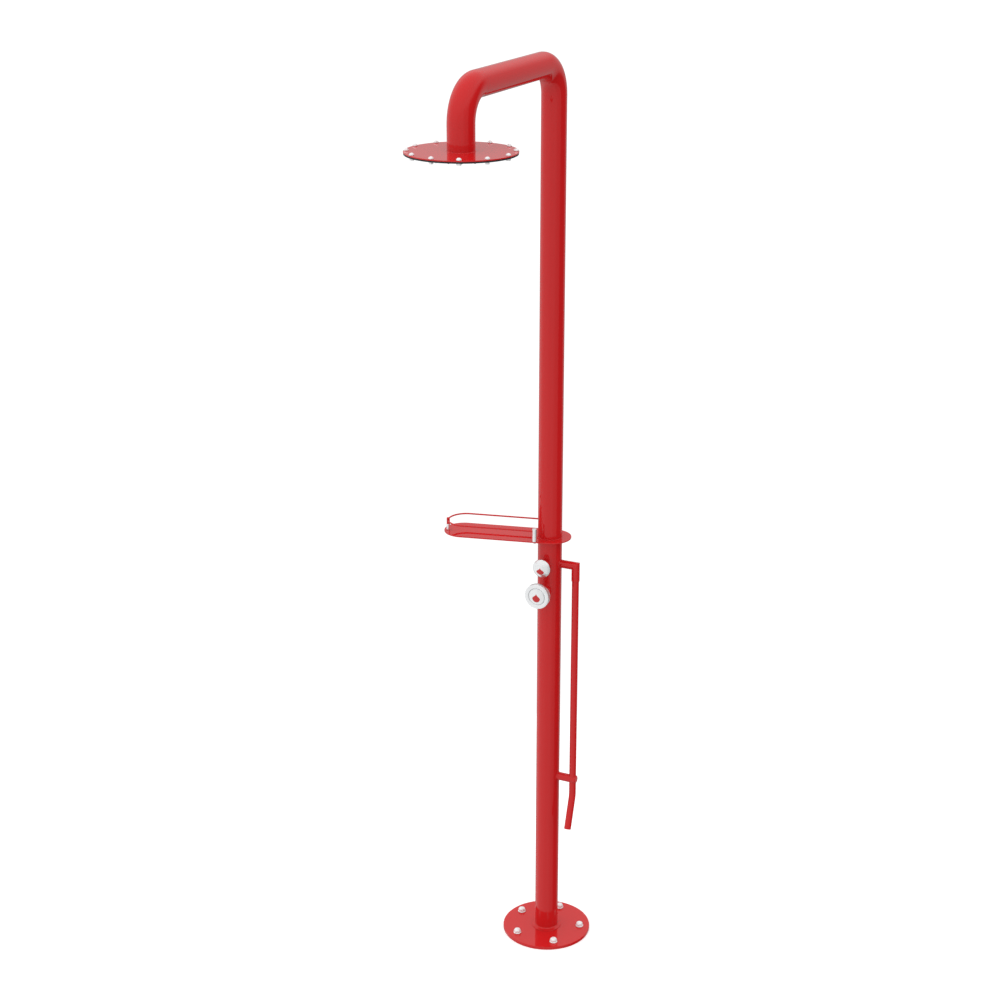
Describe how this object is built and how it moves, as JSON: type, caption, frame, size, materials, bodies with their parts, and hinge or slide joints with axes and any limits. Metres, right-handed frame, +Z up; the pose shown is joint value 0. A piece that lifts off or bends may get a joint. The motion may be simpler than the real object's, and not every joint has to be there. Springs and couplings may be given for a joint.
{
  "type": "emergency safety shower",
  "caption": "Floor-standing emergency shower column with an overhead round head, two push-button valves, a side foot-wash pipe and a small railed tray.",
  "frame": {"origin": "centre of the base flange's underside, on the floor and on the column's axis", "axes": "+Z up along the column; -Y forward, the way the overhead arm and both push buttons point; +X to the foot-wash pipe; the tray lies towards -X"},
  "size_m": [0.3907, 0.7313, 2.3476],
  "materials": {
    "red_paint": "gloss red powder coat on steel",
    "chrome": "polished chrome plate",
    "stainless": "drawn stainless steel",
    "brass": "machined brass",
    "dark_steel": "satin dark grey coating",
    "rubber": "matte black rubber",
    "spring_steel": "drawn spring wire"
  },
  "bodies": {
    "column": {"base_flange": "red_paint", "foot_collar": "red_paint", "column_tube": "red_paint", "rear_elbow": "red_paint", "arm_tube": "red_paint", "front_elbow": "red_paint", "drop_pipe": "red_paint", "head_top_plate": "red_paint", "shower_boss": "red_paint", "foot_boss": "red_paint", "foot_elbow": "red_paint", "foot_tube": "red_paint", "foot_bracket": "red_paint", "tray_plate": "red_paint", "tray_rail": "red_paint", "anchor_bolt_1": "chrome", "anchor_bolt_2": "chrome", "anchor_bolt_3": "chrome", "anchor_bolt_4": "chrome", "anchor_bolt_5": "chrome", "head_bolt_01": "chrome", "head_bolt_02": "chrome", "head_bolt_03": "chrome", "head_bolt_04": "chrome", "head_bolt_05": "chrome", "head_bolt_06": "chrome", "head_bolt_07": "chrome", "head_bolt_08": "chrome", "head_bolt_09": "chrome", "head_bolt_10": "chrome", "head_bolt_11": "chrome", "head_bolt_12": "chrome", "shower_bezel": "chrome", "tray_post_far": "chrome", "tray_post_near": "chrome", "tray_post_outer": "chrome", "supply_riser": "stainless", "head_feed_pipe": "stainless", "tray_screw_far": "stainless", "tray_screw_near": "stainless", "tray_screw_outer": "stainless", "valve_block": "brass", "shower_valve_body": "brass", "shower_gland": "brass", "foot_valve_body": "brass", "foot_gland": "brass", "foot_nipple": "brass", "head_nozzle_plate": "dark_steel", "head_gasket": "rubber", "head_nozzle_mat": "rubber", "shower_spring": "spring_steel", "foot_spring": "spring_steel"},
    "shower_push_button": {"shower_button": "chrome", "shower_piston_stem": "stainless", "shower_seal": "rubber"},
    "foot_push_button": {"foot_button": "chrome", "foot_piston_stem": "stainless", "foot_seal": "rubber"}
  },
  "joints": [
    {"name": "shower_push", "type": "slide", "parent": "column", "child": "shower_push_button", "axis": [0, 1, 0], "range_m": [0, 0.005], "stiffness_N_per_m": 2000, "springref_m": -0.005, "deforming": ["shower_spring"]},
    {"name": "foot_push", "type": "slide", "parent": "column", "child": "foot_push_button", "axis": [0, 1, 0], "range_m": [0, 0.006], "stiffness_N_per_m": 1500, "springref_m": -0.006, "deforming": ["foot_spring"]}
  ]
}
